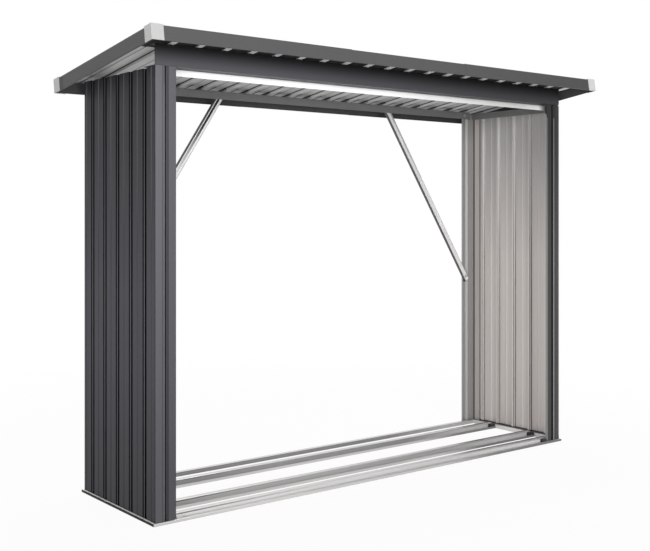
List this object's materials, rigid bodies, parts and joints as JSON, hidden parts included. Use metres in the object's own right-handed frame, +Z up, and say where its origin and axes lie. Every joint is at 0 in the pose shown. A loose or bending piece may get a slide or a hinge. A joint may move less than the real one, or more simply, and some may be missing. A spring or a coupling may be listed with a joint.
{
  "type": "open log store",
  "caption": "Free-standing open log store of folded sheet steel: ribbed side walls, corner posts, floor rails, rear braces and a lean-to ribbed roof with edge trim and corner caps.",
  "frame": {"origin": "on the ground, under the middle of the whole outline, roof overhangs included", "axes": "+Z up, +X to the right along the front, +Y from the open front to the rear"},
  "size_m": [2.184, 0.735, 1.5956],
  "materials": {
    "anthracite_paint": "satin anthracite coating on the outside, bare galvanised on the inside",
    "galvanised_steel": "smooth bright galvanised",
    "cap_plastic": "matte pale grey",
    "black_plastic": "matte black"
  },
  "bodies": {
    "root": {"base_front": "galvanised_steel", "base_rear": "galvanised_steel", "base_left": "galvanised_steel", "base_right": "galvanised_steel", "floor_rail_front": "galvanised_steel", "floor_rail_rear": "galvanised_steel", "end_block_base_left": "black_plastic", "end_block_base_right": "black_plastic", "end_block_front_left": "black_plastic", "end_block_front_right": "black_plastic", "end_block_rear_left": "black_plastic", "end_block_rear_right": "black_plastic", "post_front_left": "anthracite_paint", "post_front_right": "anthracite_paint", "post_rear_left": "anthracite_paint", "post_rear_right": "anthracite_paint", "wall_left": "anthracite_paint", "wall_right": "anthracite_paint", "top_rail_front": "galvanised_steel", "top_rail_rear": "anthracite_paint", "top_rail_left": "anthracite_paint", "top_rail_right": "anthracite_paint", "lintel": "anthracite_paint", "brace_left": "galvanised_steel", "brace_right": "galvanised_steel", "roof_sheet_left": "anthracite_paint", "roof_sheet_middle": "anthracite_paint", "roof_sheet_right": "anthracite_paint", "front_trim_left": "anthracite_paint", "front_trim_middle": "anthracite_paint", "front_trim_right": "anthracite_paint", "rear_trim_left": "anthracite_paint", "rear_trim_middle": "anthracite_paint", "rear_trim_right": "anthracite_paint", "side_trim_left": "anthracite_paint", "side_trim_right": "anthracite_paint", "corner_cap_front_left": "cap_plastic", "corner_cap_front_right": "cap_plastic", "corner_cap_rear_left": "cap_plastic", "corner_cap_rear_right": "cap_plastic"}
  },
  "joints": []
}
